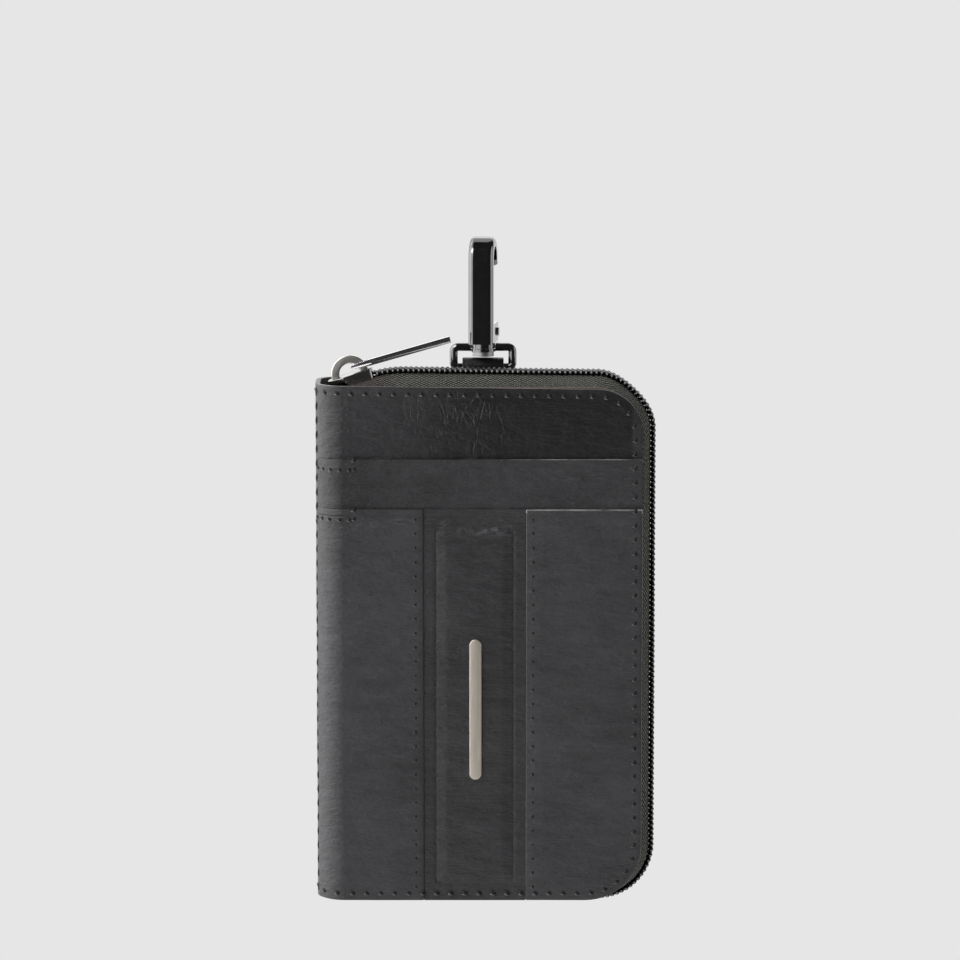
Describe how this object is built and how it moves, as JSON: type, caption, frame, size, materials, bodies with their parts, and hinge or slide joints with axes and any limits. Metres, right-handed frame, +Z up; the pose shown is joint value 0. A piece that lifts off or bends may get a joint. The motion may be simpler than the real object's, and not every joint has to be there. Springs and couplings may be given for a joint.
{
  "type": "key case",
  "caption": "Zip-round leather key case with card pockets on the front, key hooks inside and a swivel snap hook on top.",
  "frame": {"origin": "centre of the snap hook's inner crown, where the case hangs", "axes": "+Z up along the hook, front with the card pockets faces -Y, spine on the -X side"},
  "size_m": [0.0733, 0.0248, 0.1457],
  "materials": {
    "leather": "grained",
    "pocket_leather": "grained",
    "lining": "woven",
    "board": "matte",
    "pad": "matte",
    "tape": "woven",
    "coil": "satin",
    "slider_metal": "matte plated",
    "pull_metal": "polished dark plated",
    "hook_metal": "polished dark plated",
    "steel": "satin"
  },
  "bodies": {
    "hook": {"hook_frame": "hook_metal", "gate_pin": "steel", "gate_spring": "steel", "swivel_rivet": "steel"},
    "gate": {"hook_gate": "hook_metal"},
    "swivel_eye": {"swivel_eye": "hook_metal"},
    "case_back": {"back_cover": "leather", "back_board": "board", "back_lining": "lining", "back_tape": "tape", "back_coil": "coil", "hang_tab": "leather", "key_plate": "steel", "key_rivets": "steel", "zip_end_stop": "slider_metal"},
    "spine": {"spine_leather": "leather", "spine_lining": "lining"},
    "front_cover": {"front_cover": "leather", "front_board": "board", "front_lining": "lining", "front_tape": "tape", "front_coil": "coil", "upper_pocket": "pocket_leather", "lower_pocket_left": "pocket_leather", "lower_pocket_right": "pocket_leather", "lower_pocket_centre": "pocket_leather", "pocket_pad": "pad"},
    "zip_slider": {"zip_slider": "slider_metal", "slider_bail": "slider_metal"},
    "zip_pull": {"zip_pull": "pull_metal"},
    "key_hook_1": {"key_hook_1": "steel"},
    "key_hook_2": {"key_hook_2": "steel"},
    "key_hook_3": {"key_hook_3": "steel"},
    "key_hook_4": {"key_hook_4": "steel"}
  },
  "joints": [
    {"name": "gate_hinge", "type": "hinge", "parent": "hook", "child": "gate", "pos_m": [0.00046, 0.00377, -0.0159], "axis": [0.9925, -0.1219, 0], "range_deg": [0, 24], "stiffness_Nm_per_rad": 0.01, "springref_deg": -28.65},
    {"name": "hook_swivel", "type": "hinge", "parent": "hook", "child": "swivel_eye", "pos_m": [0, 0, -0.01925], "axis": [0, 0, 1], "continuous": true},
    {"name": "eye_tilt", "type": "hinge", "parent": "swivel_eye", "child": "case_back", "pos_m": [0, 0, -0.0234], "axis": [1, 0, 0], "range_deg": [-30, 75]},
    {"name": "spine_fold", "type": "hinge", "parent": "case_back", "child": "spine", "pos_m": [-0.03444, 0.00084, -0.0818], "axis": [0, 0, -1], "range_deg": [0, 90]},
    {"name": "cover_fold", "type": "hinge", "parent": "spine", "child": "front_cover", "pos_m": [-0.03444, -0.01524, -0.0818], "axis": [0, 0, -1], "range_deg": [0, 90]},
    {"name": "zip_slide", "type": "slide", "parent": "case_back", "child": "zip_slider", "axis": [0.9987, 0, 0.0516], "range_m": [0, 0.045], "deforming": ["front_coil", "back_coil", "front_tape", "back_tape"]},
    {"name": "pull_hinge", "type": "hinge", "parent": "zip_slider", "child": "zip_pull", "pos_m": [-0.02821, -0.0072, -0.02256], "axis": [0, -1, 0], "range_deg": [0, 120]},
    {"name": "key_hinge_1", "type": "hinge", "parent": "case_back", "child": "key_hook_1", "pos_m": [-0.0192, -0.00155, -0.04347], "axis": [1, 0, 0], "range_deg": [-35, 2]},
    {"name": "key_hinge_2", "type": "hinge", "parent": "case_back", "child": "key_hook_2", "pos_m": [-0.0072, -0.00155, -0.04347], "axis": [1, 0, 0], "range_deg": [-35, 2]},
    {"name": "key_hinge_3", "type": "hinge", "parent": "case_back", "child": "key_hook_3", "pos_m": [0.0048, -0.00155, -0.04347], "axis": [1, 0, 0], "range_deg": [-35, 2]},
    {"name": "key_hinge_4", "type": "hinge", "parent": "case_back", "child": "key_hook_4", "pos_m": [0.0168, -0.00155, -0.04347], "axis": [1, 0, 0], "range_deg": [-35, 2]}
  ],
  "couplings": [
    {"joint": "cover_fold", "follows": "spine_fold", "ratio": 1}
  ]
}
